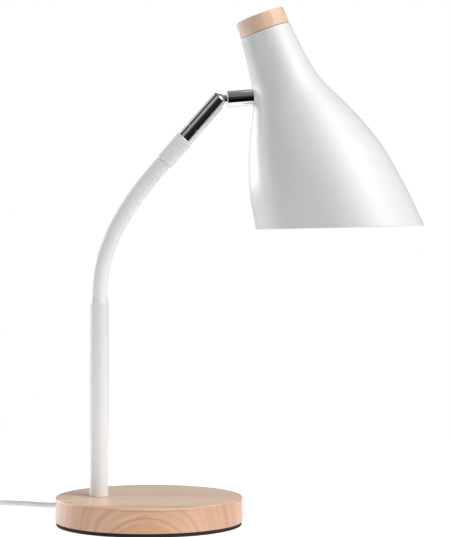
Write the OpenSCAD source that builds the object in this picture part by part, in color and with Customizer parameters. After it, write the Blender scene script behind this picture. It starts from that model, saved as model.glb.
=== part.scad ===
// Desk lamp: round wooden base, rigid post, gooseneck, two-tube swivel joint and a spun bottle-shaped shade.
// Millimetres, +Z up. The origin is the centre of the base's underside, on the desk. The head points towards +X.

/* [Base] */
// Diameter of the wooden base disc
base_d = 159; // [156:1:168]
// Thickness of the wooden base disc
base_h = 20.6; // [19.6:0.2:26]
// Thickness of the black pad glued under the base
pad_h = 3.2; // [2.8:0.1:3.4]
// Radius of the rounding along the base's top edge
base_round = 1.4; // [0.6:0.1:3]
// Diameter of the steel ballast plate hidden in the base
ballast_d = 116; // [110:1:118]
// Thickness of the steel ballast plate
ballast_h = 8; // [6:0.5:8]

/* [Post] */
// Outer diameter of the post
post_d = 16; // [15.5:0.5:18]
// Distance from the base's centre to the post's axis
post_offset = 42.5; // [41:0.5:44]
// Height of the post's top above the desk
post_top = 192.9; // [150:0.1:240]
// Length of the taper from the post's diameter to the gooseneck's
post_taper = 5.5; // [4:0.5:10]

/* [Gooseneck] */
// Outer diameter of the soft sleeve
neck_d = 13.5; // [13.4:0.1:14]
// Length of each of the six neck lengths, from hinge centre to hinge centre
link_len = 20.9; // [19:0.1:24]
// Free gap between the sleeve's lengths
sleeve_gap = 1.6; // [1.4:0.1:2]

/* [Arm end and joint] */
// Outer diameter of the white collar
collar_d = 15.2; // [14.8:0.1:17]
// Length of the white collar
collar_len = 26.4; // [24:0.2:30]
// Outer diameter of both chrome tubes
tube_d = 13.5; // [13.4:0.1:14]
// Length of the fixed chrome ferrule above the collar
ferrule_len = 11; // [10:0.5:14]
// Distance from the collar's top to the ball's centre
ball_at = 44; // [42:0.5:50]
// Diameter of the ball
ball_d = 10.2; // [10:0.1:10.3]
// Rise of the stub tube above the horizontal
stub_rise = 4.4; // [0:0.1:10]
// Distance from the ball's centre to the stub tube's near face
stub_at = 7; // [7:0.05:7.4]

/* [Shade] */
// Lean of the shade's axis from the vertical
shade_tilt = 20.1; // [18:0.1:22]
// Thickness of the spun wall
shade_wall = 1.2; // [1:0.1:1.4]
// Where the slanted rim crosses the shade's axis, measured from its top
rim_at = 177.5; // [172:0.5:184]
// Slant of the rim against a square cut
rim_slant = 18.53; // [16:0.01:20]
// Radius of the wooden cap
cap_r = 21.6; // [21.2:0.1:22.2]
// Height of the wooden cap
cap_h = 14; // [13:0.5:18]

/* [Lamp holder and bulb] */
// Outer radius of the lamp holder
holder_r = 19.2; // [18.6:0.1:19.4]
// Radius of the bulb's globe
globe_r = 30; // [28:0.5:32]

/* [Cord] */
// Diameter of the mains cord
cord_d = 5; // [4.8:0.1:5.2]
// Length of the tapered strain relief
relief_len = 22; // [22:0.5:22.5]

/* [Switch and plug] */
// Width of the in-line switch
switch_w = 25; // [24:0.5:27]
// Length of the in-line switch without its nozzles
switch_len = 60; // [56:1:62]
// Length of the plug's two pins
pin_len = 19; // [17:0.5:19]

/* [Hidden] */
$fn = 64;
e = 0.01;

// ---- colours
c_wood = [0.85, 0.71, 0.58];
c_black = [0.07, 0.07, 0.07];
c_steel = [0.62, 0.63, 0.65];
c_white = [0.93, 0.93, 0.92];
c_chrome = [0.78, 0.79, 0.80];
c_brass = [0.80, 0.66, 0.36];
c_cord = [0.86, 0.86, 0.86];
c_black_plastic = [0.12, 0.12, 0.13];

// ---- heights in the base
wood_z = pad_h;
base_top = pad_h + base_h;
recess_r = 62;
recess_top = pad_h + 12.8;      // underside of the wood above the recess
plate_top = recess_top - 0.2;
plate_z = plate_top - ballast_h;
exit_z = 9;                   // height of the cord's hole
exit_a = 130;                 // direction of the cord's hole, at the left rear

// ---- gooseneck: bend of each length at rest, in degrees
turns = [10, 10.5, 8, 5.5, 4.5, 3];
neck_r = neck_d / 2;
sleeve_in = neck_r - 0.65;
cup_r = 5.5;                  // outside of each hose length's socket
knob_r = 4.3;                 // ball end of each hose length
cavity_r = 4.6;               // inside of each socket
hose_r = 2.9;
wire_r = 1.9;                 // bore for the lead
j0_z = post_top + 1;

function ang(i) = i == 0 ? 0 : ang(i - 1) + turns[i - 1];
function bend_r(i) = link_len * 180 / (PI * turns[i]);
function step(i) = let (r = bend_r(i), t = turns[i]) [r * (1 - cos(t)), r * sin(t)];
function joint_at(i) = i == 0 ? [-post_offset, j0_z]
    : let (p = joint_at(i - 1), s = step(i - 1), a = ang(i - 1))
      [p[0] + s[0] * cos(a) + s[1] * sin(a), p[1] - s[0] * sin(a) + s[1] * cos(a)];

arm_a = ang(6);               // lean of the chrome tube from the vertical
end_j = joint_at(6);
collar_z = 4;                 // start of the collar above the last hinge
collar_top = collar_z + collar_len;
ball_t = collar_top + ball_at;
ball = [end_j[0] + ball_t * sin(arm_a), end_j[1] + ball_t * cos(arm_a)];

// ---- shade: top centre from the ball's centre
shade_o = [ball[0] + 39.1, ball[1] + 58.3];
// outline of the shade: distance below its top, radius
outline = [
    [0, 22], [12, 23], [24, 24.4], [36, 26.2], [46, 28.2], [56, 31.4], [68, 37], [80, 42.9], [92, 48.2],
    [105, 53.4], [118, 57.8], [132, 61.3], [146, 63.7], [160, 65.9], [175, 67.7], [190, 69.1], [205, 70.2], [220, 71.1]
];
// a smooth curve through the outline's points
function at(p, i) = p[max(0, min(len(p) - 1, i))];
function catmull(a, b, c, d, t) = 0.5 * ((2 * b) + (c - a) * t + (2 * a - 5 * b + 4 * c - d) * t * t + (3 * b - a - 3 * c + d) * t * t * t);
function smooth_line(p, n) = [for (i = [0:len(p) - 2]) for (k = [0:n - 1]) catmull(at(p, i - 1), p[i], p[i + 1], at(p, i + 2), k / n), p[len(p) - 1]];
function normal_2d(p, i) = let (d = at(p, i + 1) - at(p, i - 1)) [-d[1], d[0]] / norm(d);
outer_line = smooth_line(outline, 2);
function inset(p, w) = [for (i = [0:len(p) - 1]) p[i] + normal_2d(p, i) * w];

// ---- cord route, from the end of the strain relief to the switch
lead_path = [
    [-65.2, 77.7, 9], [-70, 83.3, 8.2], [-76, 89, 6], [-82.5, 94, 3.8], [-89.5, 98.3, 2.7], [-97, 102.3, 2.5],
    [-106, 106.7, 2.5], [-116, 110.9, 2.5], [-127, 114.5, 2.5], [-134, 116.3, 2.5], [-141, 117, 2.5], [-147.5, 115.5, 2.5],
    [-153.5, 112, 2.6], [-158, 106.5, 3.4], [-160.4, 100, 5], [-161, 94, 6.8], [-161, 89, 7.8], [-161, 85, 8]
];
mid_path = [[-161, 13, 8], [-161, 7, 7.7], [-161, -2, 5.4], [-161, -12, 3.5], [-161, -24, 3.1]];
tail_path = [[-213, 0, 13.1], [-208, 5.5, 12.3], [-204.2, 13, 10.2], [-202.4, 21, 8], [-202, 26, 7.1], [-202, 30, 6.9]];
base_lead_path = [
    [-50.8, 60.5, 9], [-43.7, 52.1, 9], [-36.6, 43.6, 9], [-30.2, 36, 9], [-26.6, 29.6, 8.2], [-25.8, 22.4, 6.5], [-28.3, 15.2, 5.6], [-33.3, 9, 5.4],
    [-38, 4.6, 5.9], [-41.4, 1.1, 8], [-42.5, 0, 12.5]
];
coil_c = [-193.5, -26];
coil_in = 20;
coil_out = 35;
coil_z = 0.6;
coil_h = 15;
switch_c = [-161, 49];
switch_mid = 8;               // parting height of the switch
plug_c = [-202, 30];          // where the cord enters the plug
plug_len = 38;
plug_w = 35;
plug_h = 13.6;

// ---- small helpers
module at_joint(i) { p = joint_at(i); translate([p[0], 0, p[1]]) rotate([0, ang(i), 0]) children(); }
module at_ball() { translate([ball[0], 0, ball[1]]) rotate([0, 90 - stub_rise, 0]) children(); }
module at_shade() { translate([shade_o[0], 0, shade_o[1]]) rotate([0, -shade_tilt, 0]) children(); }
module tube(r1, r0, z0, z1) { translate([0, 0, z0]) difference() { cylinder(r = r1, h = z1 - z0); translate([0, 0, -1]) cylinder(r = r0, h = z1 - z0 + 2); } }
module rod(r, z0, z1) { translate([0, 0, z0]) cylinder(r = r, h = z1 - z0); }
module cone(r1, r2, z0, z1) { translate([0, 0, z0]) cylinder(r1 = r1, r2 = r2, h = z1 - z0); }
module hexa(r, z0, z1) { translate([0, 0, z0]) cylinder(r = r, h = z1 - z0, $fn = 6); }
// cross-section of a disc with both outer corners rounded
module disc_section(r, z0, z1, top, bottom) {
    union() {
        translate([0, z0 + bottom]) square([r, z1 - z0 - top - bottom]);
        translate([0, z0]) square([r - max(top, bottom), z1 - z0]);
        translate([0, z1 - top]) square([r - top, top]);
        translate([0, z0]) square([r - bottom, bottom]);
        translate([r - top, z1 - top]) circle(r = top, $fn = 48);
        translate([r - bottom, z0 + bottom]) circle(r = bottom, $fn = 48);
    }
}
// part of a bent round bar: from angle a0 to a1 of a bend of radius r that starts upwards and turns to +X
module bent(r, a0, a1) {
    translate([r, 0, 0]) rotate([90, 0, 0]) rotate([0, 0, 180 - a1]) rotate_extrude(angle = a1 - a0, $fn = 64) translate([r, 0]) children();
}
// a round cord through the points p
function unit(v) = v / norm(v);
function path_dir(p, i) = unit(at(p, i + 1) - at(p, i - 1));
function path_ring(p, i, r, n) = let (t = path_dir(p, i), s = unit(cross(t, [0, 0, 1])), u = cross(s, t))
    [for (j = [0:n - 1]) p[i] + r * (cos(360 * j / n) * s + sin(360 * j / n) * u)];
module cord_along(p, r, n = 10) {
    m = len(p);
    polyhedron(
        points = [for (i = [0:m - 1]) each path_ring(p, i, r, n)],
        faces = concat(
            [[for (j = [0:n - 1]) n - 1 - j]],
            [for (i = [0:m - 2]) for (j = [0:n - 1]) [i * n + j, i * n + (j + 1) % n, (i + 1) * n + (j + 1) % n, (i + 1) * n + j]],
            [[for (j = [0:n - 1]) (m - 1) * n + j]]
        ),
        convexity = 6
    );
}

// ================= base =================
// wooden disc with a recess below, a hole for the post and a hole for the cord
module base_wood() color(c_wood) difference() {
    rotate_extrude($fn = 128) disc_section(base_d / 2, wood_z, base_top, base_round, 0.6);
    translate([0, 0, wood_z - 1]) cylinder(r = recess_r, h = recess_top - wood_z + 1);
    translate([-post_offset, 0, 0]) cylinder(r = 5.1, h = base_top + 5);
    translate([0, 0, exit_z]) rotate([0, 90, exit_a]) translate([0, 0, 55]) cylinder(r = 3.2, h = 60);
    for (s = screw_spots) translate([s[0], s[1], recess_top - 1]) cylinder(r = 1.6, h = 7.5);
    for (s = grip_spots) rotate([0, 0, exit_a]) translate([s[0], s[1], recess_top - 1]) cylinder(r = 1.1, h = 6.5);
}
screw_spots = [[44, 18], [6, -47], [14, 46]];
grip_spots = [[51, 8], [51, -8]];

// steel weight, cut away round the post's nut and along the lead
module ballast_plate() color(c_steel) difference() {
    translate([0, 0, plate_z]) cylinder(r = ballast_d / 2, h = ballast_h, $fn = 96);
    translate([-post_offset, 0, plate_z - 1]) cylinder(r = 18, h = ballast_h + 2);
    translate([-post_offset - 30, -17, plate_z - 1]) cube([30, 34, ballast_h + 2]);
    translate([0, 0, plate_z - 1]) rotate([0, 0, exit_a]) translate([22, -13, 0]) cube([60, 26, ballast_h + 2]);
    for (s = screw_spots) translate([s[0], s[1], 0]) { rod(2.3, plate_z - 1, plate_top + 1); cone(4.4, 2.3, plate_z - 0.01, plate_z + 2.6); }
}
// three countersunk screws for the ballast and two for the cord grip
module base_screws() color(c_steel) {
    for (s = screw_spots) translate([s[0], s[1], 0]) { cone(4.1, 2, plate_z + 0.1, plate_z + 2.5); rod(2, plate_z + 2.4, recess_top); rod(1.55, recess_top - 0.1, recess_top + 6); }
    for (s = grip_spots) rotate([0, 0, exit_a]) translate([s[0], s[1], 0]) { rod(2.2, 3.7, 5.15); rod(1.2, 5.1, recess_top); rod(1.05, recess_top - 0.1, recess_top + 5); }
}
// non-slip pad
module base_pad() color(c_black) rotate_extrude($fn = 128) disc_section(base_d / 2 - 0.8, 0, pad_h - 0.05, 0.3, 0.6);
// saddle that holds the lead inside the base
module cord_grip() color(c_black_plastic) rotate([0, 0, exit_a]) difference() {
    translate([47, -11.5, 5.2]) cube([8, 23, recess_top - 5.25]);
    translate([40, 0, exit_z]) rotate([0, 90, 0]) cylinder(r = 2.2, h = 20);
    for (y = [-8, 8]) translate([51, y, 4]) cylinder(r = 1.3, h = 20);
}
// tapered strain relief pressed into the cord's hole
module strain_relief() color(c_white) translate([0, 0, exit_z]) rotate([0, 90, exit_a]) difference() {
    union() {
        rod(3.15, 70, base_d / 2 + 0.6);
        rod(5, base_d / 2 + 0.1, base_d / 2 + 2.2);
        cone(4.4, 3.2, base_d / 2 + 2.1, base_d / 2 + relief_len);
    }
    rod(2.55, 60, base_d / 2 + relief_len - 0.01);
    rod(2.49, 60, base_d / 2 + relief_len + 5);
}
// lead inside the base
module base_lead() color(c_white) cord_along(base_lead_path, 1.7, 8);

// ================= post =================
module post_tube() color(c_white) translate([-post_offset, 0, 0]) difference() {
    rotate_extrude($fn = 96) polygon([
        [0, base_top + 0.05], [post_d / 2 - 0.5, base_top + 0.05], [post_d / 2, base_top + 0.6], [post_d / 2, post_top - post_taper],
        [post_d / 2 - 0.35, post_top - post_taper * 0.72], [neck_r + 0.35, post_top - post_taper * 0.28], [neck_r + 0.1, post_top - 0.4],
        [neck_r - 0.1, post_top], [0, post_top]
    ]);
    translate([0, 0, base_top - 1]) cylinder(r = 6.3, h = post_top);
}
// hollow threaded stud pressed into the post's foot
module post_stud() color(c_steel) translate([-post_offset, 0, 0]) difference() {
    union() { rod(4.95, 9.2, base_top + 1); rod(6.25, base_top + 0.2, base_top + 12); }
    rod(3.2, 0, base_top + 20);
}
module post_washer() color(c_steel) translate([-post_offset, 0, 0]) tube(11, 5.1, recess_top - 1.6, recess_top - 0.05);
module post_nut() color(c_steel) translate([-post_offset, 0, 0]) difference() {
    intersection() { hexa(9.8, recess_top - 6.7, recess_top - 1.7); union() { cone(8.6, 10.4, recess_top - 6.7, recess_top - 5.4); rod(10.4, recess_top - 5.4, recess_top - 1.7); } }
    rod(5, 0, recess_top);
}

// ================= gooseneck =================
// end fitting inside the post's top, with the first ball
module hose_foot() color(c_steel) translate([-post_offset, 0, 0]) difference() {
    union() { rod(6.25, post_top - 22, j0_z - 3.6); rod(hose_r, j0_z - 4, j0_z); translate([0, 0, j0_z]) sphere(r = knob_r); }
    rod(wire_r, post_top - 30, j0_z + 10);
}
// socket at the lower end of a hose length
module hose_socket() {
    rotate_extrude() polygon([[0, -2.2], [cup_r, -2.2], [cup_r, 6.6], [hose_r, 9.4], [0, 9.4]]);
}
function chord(i) = norm(step(i));
module hose_link(i) color(c_steel) at_joint(i) difference() {
    union() {
        hose_socket();
        rotate([0, turns[i] / 2, 0]) rod(hose_r, 7, chord(i));
        rotate([0, turns[i] / 2, 0]) translate([0, 0, chord(i)]) sphere(r = knob_r);
    }
    sphere(r = cavity_r);
    rotate([0, turns[i] / 2, 0]) rod(wire_r, 0, chord(i) + 8);
}
module hose_1() hose_link(0);
module hose_2() hose_link(1);
module hose_3() hose_link(2);
module hose_4() hose_link(3);
module hose_5() hose_link(4);
module hose_6() hose_link(5);
// soft sleeve over one hose length
module sleeve_link(i) color(c_white) at_joint(i)
    bent(bend_r(i), turns[i] * sleeve_gap / 2 / link_len, turns[i] * (1 - sleeve_gap / 2 / link_len))
        difference() { circle(r = neck_r, $fn = 64); circle(r = sleeve_in, $fn = 64); }
module sleeve_1() sleeve_link(0);
module sleeve_2() sleeve_link(1);
module sleeve_3() sleeve_link(2);
module sleeve_4() sleeve_link(3);
module sleeve_5() sleeve_link(4);
module sleeve_6() sleeve_link(5);

// ================= arm end =================
// end fitting: socket below, spigot for the ferrule and stem of the swivel above
module neck_end() color(c_steel) at_joint(6) difference() {
    union() {
        rotate_extrude() polygon([[0, -2.2], [cup_r, -2.2], [cup_r, 14.6], [6, 14.6], [6, collar_top - 0.3], [4, collar_top - 0.3],
            [4, collar_top + 7], [3, collar_top + 7], [3, collar_top + ferrule_len + 8.2], [0, collar_top + ferrule_len + 8.2]]);
    }
    sphere(r = cavity_r);
    rod(1.5, -4, collar_top + 40);
    tube(3.3, 2.45, collar_top + ferrule_len + 4.1, collar_top + ferrule_len + 5.3);
}
module sleeve_top() color(c_white) at_joint(6) tube(neck_r, sleeve_in, sleeve_gap / 2, 14);
module collar() color(c_white) at_joint(6) difference() {
    rotate_extrude($fn = 96) polygon([
        [0, collar_z], [collar_d / 2 - 0.45, collar_z], [collar_d / 2 - 0.25, collar_z + 0.4], [collar_d / 2, collar_top - 1.1],
        [collar_d / 2 - 0.2, collar_top - 0.4], [collar_d / 2 - 0.7, collar_top], [0, collar_top]
    ]);
    rod(neck_r + 0.05, 0, 14.5);
    rod(6.05, 14, collar_top + 1);
}
module ferrule() color(c_chrome) at_joint(6) difference() {
    rotate_extrude() polygon([
        [0, collar_top + 0.05], [tube_d / 2, collar_top + 0.05], [tube_d / 2, collar_top + ferrule_len - 0.2],
        [tube_d / 2 - 0.2, collar_top + ferrule_len], [0, collar_top + ferrule_len]
    ]);
    rod(4.05, 0, collar_top + 7.2);
    rod(3.05, 0, collar_top + 30);
}
// spring ring in the stem's groove, holds the swivelling housing
module swivel_clip() color(c_steel) at_joint(6) tube(4.6, 2.5, collar_top + ferrule_len + 4.2, collar_top + ferrule_len + 5.2);

// ================= swivel and ball =================
// chrome housing: turns on the stem, holds the ball, slotted for the stud
module joint_housing() color(c_chrome) at_joint(6) difference() {
    union() {
        rotate_extrude() union() {
            translate([0, collar_top + ferrule_len + 0.3]) square([tube_d / 2 - 0.2, 2]);
            translate([0, collar_top + ferrule_len + 0.5]) square([tube_d / 2, ball_t + 0.8 - collar_top - ferrule_len - 0.5]);
            translate([0, ball_t + 0.5]) square([tube_d / 2 - 2.4, 2.7]);
            translate([tube_d / 2 - 2.4, ball_t + 0.8]) circle(r = 2.4, $fn = 48);
        }
    }
    rod(3.05, 0, ball_t);
    rod(4.95, collar_top + ferrule_len + 3.8, ball_t);
    rod(5.45, collar_top + ferrule_len + 15.6, ball_t);
    translate([0, 0, ball_t]) { sphere(r = 5.45); cylinder(r = 4.4, h = 10); }
    // slot for the stud's neck, down the head's side
    translate([0, 0, ball_t]) {
        translate([0, -4.1, 0.7]) cube([12, 8.2, 12]);
        rotate([0, 82, 0]) cylinder(r = 4.2, h = 12);
    }
}
// sprung seat below the ball
module ball_seat() color(c_brass) at_joint(6) difference() {
    rod(5.35, ball_t - 10, ball_t - 3.4);
    translate([0, 0, ball_t]) sphere(r = ball_d / 2 + 0.3);
    rod(2, 0, ball_t);
}
// stack of conical spring washers below the seat
module disc_springs() color(c_steel) at_joint(6) for (k = [0:3]) translate([0, 0, collar_top + ferrule_len + 15.7 + k * 1.8])
    rotate_extrude() polygon(k % 2 == 0 ? [[2.4, 0.8], [5.2, 0], [5.2, 0.7], [2.4, 1.5]] : [[2.4, 0], [5.2, 0.8], [5.2, 1.5], [2.4, 0.7]]);
// ball with its neck, shoulder and shank
module ball_stud() color(c_chrome) at_ball() difference() {
    union() {
        sphere(r = ball_d / 2);
        rod(3.7, 0, 6.5);
        cone(3.7, 4.2, 6.1, 6.4);
        rod(4.2, 6.39, 6.7);
        rod(3, 6.6, 22);
    }
    rod(1.4, -8, 30);
}
module stud_nut() color(c_steel) at_ball() difference() { hexa(5, 19.4, 21.9); rod(3.05, 0, 30); }

// ================= head =================
// chrome stub between the ball stud and the shade
module stub_tube() color(c_chrome) difference() {
    at_ball() difference() {
        rotate_extrude() polygon([[0, stub_at], [tube_d / 2 - 0.7, stub_at], [tube_d / 2, stub_at + 0.7], [tube_d / 2, 34], [0, 34]]);
        rod(3.05, 0, 20);
        rod(5.5, 19.1, 25.2);
        rod(5, 25, 40);
    }
    at_shade() shade_solid(0.05);
}
// hollow threaded nipple from the stub through the shade's wall
module stub_nipple() color(c_steel) at_ball() tube(4.95, 3.2, 25.4, 36);
module stub_nut() color(c_steel) at_ball() difference() { union() { hexa(7.4, 32.4, 35.5); rod(6, 31.9, 32.5); } rod(5, 30, 40); }

// the shade's outer form as a full solid
module shade_solid(grow) {
    rotate_extrude($fn = 128) polygon(concat([[0, 0]], [for (p = outer_line) [p[1] + grow, -p[0]]], [[0, -outline[len(outline) - 1][0]]]));
}
// spun shade with a closed top, a slanted rim, a hole in the top and one in the side
module shade() color(c_white) difference() {
    at_shade() difference() {
        shade_solid(0);
        rotate_extrude($fn = 128) polygon(concat(
            [[0, -shade_wall], [outline[0][1] - shade_wall - 0.15, -shade_wall]],
            [for (i = [1:len(outer_line) - 2]) let (q = inset([for (p = outer_line) [p[1], -p[0]]], -shade_wall)[i]) if (q[1] < -shade_wall - 0.5) q],
            [[outline[len(outline) - 1][1] - shade_wall, -outline[len(outline) - 1][0] - 1], [0, -outline[len(outline) - 1][0] - 1]]
        ));
        // slanted rim
        translate([0, 0, -rim_at]) rotate([0, rim_slant, 0]) translate([-150, -150, -200]) cube([300, 300, 200]);
        cylinder(r = 5.15, h = 20, center = true);
    }
    at_ball() rod(5.15, 22, 40);
}
// wooden cap, recessed over the nut
module top_cap() color(c_wood) at_shade() difference() {
    rotate_extrude() polygon(concat(
        [[0, 0.25], [cap_r - 0.35, 0.25], [cap_r, 0.6]],
        [for (a = [0:15:90]) [cap_r - 1.4 + cos(a), cap_h - 0.75 + sin(a)]],
        [[0, cap_h + 0.25]]
    ));
    rod(11.5, -1, 7);
    rod(5.2, -1, 10.5);
}
module holder_nipple() color(c_steel) at_shade() tube(4.95, 3.2, -12, 9.6);
module top_nut() color(c_steel) at_shade() difference() { union() { rod(10.5, 0.05, 1.5); hexa(9.5, 1.4, 6); } rod(5, -1, 10); }
// upper half of the lamp holder
module holder_cap() color(c_white) at_shade() difference() {
    rotate_extrude() polygon([[0, -3], [8.5, -3], [11, -4.2], [15.5, -11], [18.4, -17], [holder_r, -21], [holder_r, -27], [0, -27]]);
    rotate_extrude() polygon([[0, -8], [8, -8], [13.2, -13.5], [16.2, -18.5], [17.2, -22], [17.2, -28], [0, -28]]);
    rod(5, -20, 0);
}
// lower half of the lamp holder, a deep skirt round the bulb's cap
module holder_body() color(c_white) at_shade() difference() {
    rotate_extrude() polygon([[0, -27.2], [holder_r, -27.2], [holder_r, -36], [holder_r - 0.5, -60], [holder_r - 1, -61], [0, -61]]);
    rod(17.1, -34, -20);
    rod(16.4, -62, -30);
}
// insulating insert that carries the contacts
module holder_core() color(c_white) at_shade() difference() {
    union() { rod(17, -33, -27.4); rod(14.6, -58, -27.5); }
    rod(14, -60, -36);
    for (x = [-8, 8]) translate([x, 0, 0]) rod(1.6, -40, -20);
}
// threaded shell, centre tongue and two terminal screws
module holder_contacts() color(c_brass) at_shade() {
    tube(13.9, 13.5, -57, -36.2);
    rod(3.5, -37.4, -36.05);
    for (x = [-8, 8]) translate([x, 0, 0]) rod(1.5, -36, -25);
}
// bulb: screw cap, housing and globe
module bulb_cap() color(c_steel) at_shade() {
    rotate_extrude() polygon([[0, -37.5], [4, -37.5], [4.6, -38.6], [10.5, -41], [13.2, -43], [13.2, -63], [0, -63]]);
}
module bulb_base() color(c_white) at_shade() difference() {
    rotate_extrude() polygon([[0, -63.1], [13.8, -63.1], [14.4, -64.2], [17.5, -70], [22, -79], [25.6, -87], [26.8, -90.9], [0, -90.9]]);
    rotate_extrude() polygon([[0, -66], [12, -66], [20, -80.5], [23.8, -89], [0, -89]]);
}
module bulb_globe() color(c_white) at_shade() difference() {
    translate([0, 0, -105]) sphere(r = globe_r);
    translate([0, 0, -105]) sphere(r = globe_r - 1.4);
    translate([-50, -50, -91]) cube([100, 100, 60]);
}

// ================= cord, switch and plug =================
module cord_lead() color(c_cord) cord_along(lead_path, cord_d / 2);
module cord_mid() color(c_cord) cord_along(mid_path, cord_d / 2);
module cord_tail() color(c_cord) cord_along(tail_path, cord_d / 2);
// outer form of the wound cord
module cord_coil() color(c_cord) translate([coil_c[0], coil_c[1], coil_z]) rotate_extrude($fn = 96) union() {
    translate([coil_in + 2, 0]) square([coil_out - coil_in - 4, coil_h]);
    translate([coil_in, 2]) square([coil_out - coil_in, coil_h - 4]);
    for (r = [coil_in + 2, coil_out - 2]) for (z = [2, coil_h - 2]) translate([r, z]) circle(r = 2, $fn = 32);
}
// strap round the wound cord
module coil_tie() color(c_black_plastic) translate([coil_c[0], coil_c[1], 0]) rotate([0, 0, 270]) rotate_extrude(angle = 15) difference() {
    translate([coil_in - 0.7, 0]) square([coil_out - coil_in + 1.4, coil_z + coil_h + 0.7]);
    translate([coil_in - 0.1, coil_z - 0.05]) square([coil_out - coil_in + 0.2, coil_h + 0.1]);
}
// outline of the switch, lengthwise along Y
module switch_plan(d) {
    r = switch_w / 2 - d;
    l = switch_len / 2 - switch_w / 2;
    union() { translate([-r, -l]) square([2 * r, 2 * l]); for (y = [-l, l]) translate([0, y]) circle(r = r, $fn = 64); }
}
module nozzles() for (s = [-1, 1]) translate([0, s * (switch_len / 2 - 3), switch_mid]) rotate([-90 * s, 0, 0]) cylinder(r = 4.3, h = 9);
module nozzle_bores() for (s = [-1, 1]) translate([0, s * (switch_len / 2 - 8), switch_mid]) rotate([-90 * s, 0, 0]) cylinder(r = 2.45, h = 20);
module switch_lower() color(c_white) translate([switch_c[0], switch_c[1], 0]) difference() {
    intersection() {
        union() { linear_extrude(switch_mid - 0.02) switch_plan(0); nozzles(); }
        translate([-50, -50, 0]) cube([100, 100, switch_mid - 0.02]);
    }
    translate([0, 0, 2]) linear_extrude(20) switch_plan(2);
    nozzle_bores();
    for (y = [-21, 21]) translate([0, y, 0]) { rod(1.6, -1, 10); rod(3, -1, 1.5); }
}
module switch_upper() color(c_white) translate([switch_c[0], switch_c[1], 0]) difference() {
    union() {
        difference() {
            intersection() {
                union() { translate([0, 0, switch_mid + 0.02]) linear_extrude(9) switch_plan(0); nozzles(); }
                translate([-50, -50, switch_mid + 0.02]) cube([100, 100, 20]);
            }
            translate([0, 0, switch_mid - 1]) linear_extrude(8) switch_plan(2);
        }
        // walls that carry the rocker's pin
        for (s = [-1, 1]) translate([s * 7.45 - 1, -7, switch_mid + 0.5]) cube([2, 14, 8]);
    }
    translate([-6.2, -10.6, switch_mid - 1]) cube([12.4, 21.2, 20]);
    translate([-20, 0, 13.8]) rotate([0, 90, 0]) translate([0, 0, 11]) cylinder(r = 1.25, h = 18);
    nozzle_bores();
}
// rocker, pressed at its rear end at rest
module switch_rocker() color(c_black_plastic) translate([switch_c[0], switch_c[1], 13.8]) rotate([-8, 0, 0]) difference() {
    rotate([90, 0, 90]) translate([0, 0, -5.8]) linear_extrude(11.6) polygon([[-9.4, -1.5], [-9.5, 4.4], [-9.2, 4.7], [-5, 3.7], [0, 3.3], [5, 3.7], [9.2, 4.7], [9.5, 4.4], [9.4, -1.5], [3.5, -3.6], [-3.5, -3.6]]);
    translate([-20, 0, 0]) rotate([0, 90, 0]) cylinder(r = 1.3, h = 40);
}
module rocker_pin() color(c_steel) translate([switch_c[0] - 8.2, switch_c[1], 13.8]) rotate([0, 90, 0]) cylinder(r = 1.25, h = 16.4);
module switch_screws() color(c_steel) translate([switch_c[0], switch_c[1], 0]) for (y = [-21, 21]) translate([0, y, 0]) { rod(2.8, 0.3, 1.5); rod(1.45, 1.4, 14.9); }
// flat two-pin plug, lying on its broad side, pins towards +Y
module plug_body() color(c_white) translate([plug_c[0], plug_c[1], 0]) difference() {
    linear_extrude(plug_h) union() {
        polygon([[-5.5, 0], [5.5, 0], [6.5, 6], [plug_w / 2 - 3, plug_len - 16], [plug_w / 2, plug_len - 11], [plug_w / 2, plug_len - 1], [plug_w / 2 - 1, plug_len],
            [-plug_w / 2 + 1, plug_len], [-plug_w / 2, plug_len - 1], [-plug_w / 2, plug_len - 11], [-plug_w / 2 + 3, plug_len - 16], [-6.5, 6]]);
    }
    for (s = [-1, 1]) translate([s * 9.3, plug_len - 12, plug_h / 2]) rotate([-90, 0, 0]) cylinder(r = 2.4, h = 20);
}
module plug_pins() color(c_steel) translate([plug_c[0], plug_c[1], plug_h / 2]) for (s = [-1, 1]) translate([s * 9.3, plug_len - 11.9, 0]) rotate([-90, 0, 0]) {
    rod(2.35, 0, 11.9);
    rod(2, 11.8, 11.9 + pin_len - 1);
    cone(2, 1.2, 11.9 + pin_len - 1, 11.9 + pin_len);
}

base_wood();
ballast_plate();
base_screws();
base_pad();
cord_grip();
strain_relief();
post_tube();
post_stud();
post_washer();
post_nut();
base_lead();
hose_foot();
hose_1();
hose_2();
hose_3();
hose_4();
hose_5();
hose_6();
sleeve_1();
sleeve_2();
sleeve_3();
sleeve_4();
sleeve_5();
sleeve_6();
neck_end();
sleeve_top();
collar();
ferrule();
swivel_clip();
joint_housing();
ball_seat();
disc_springs();
ball_stud();
stud_nut();
stub_tube();
stub_nipple();
stub_nut();
shade();
top_cap();
holder_nipple();
top_nut();
holder_cap();
holder_body();
holder_core();
holder_contacts();
bulb_cap();
bulb_base();
bulb_globe();
cord_lead();
cord_mid();
cord_coil();
cord_tail();
coil_tie();
switch_lower();
switch_upper();
switch_rocker();
rocker_pin();
switch_screws();
plug_body();
plug_pins();
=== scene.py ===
import bpy, math
import numpy as np
from mathutils import Vector, Matrix


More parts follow.
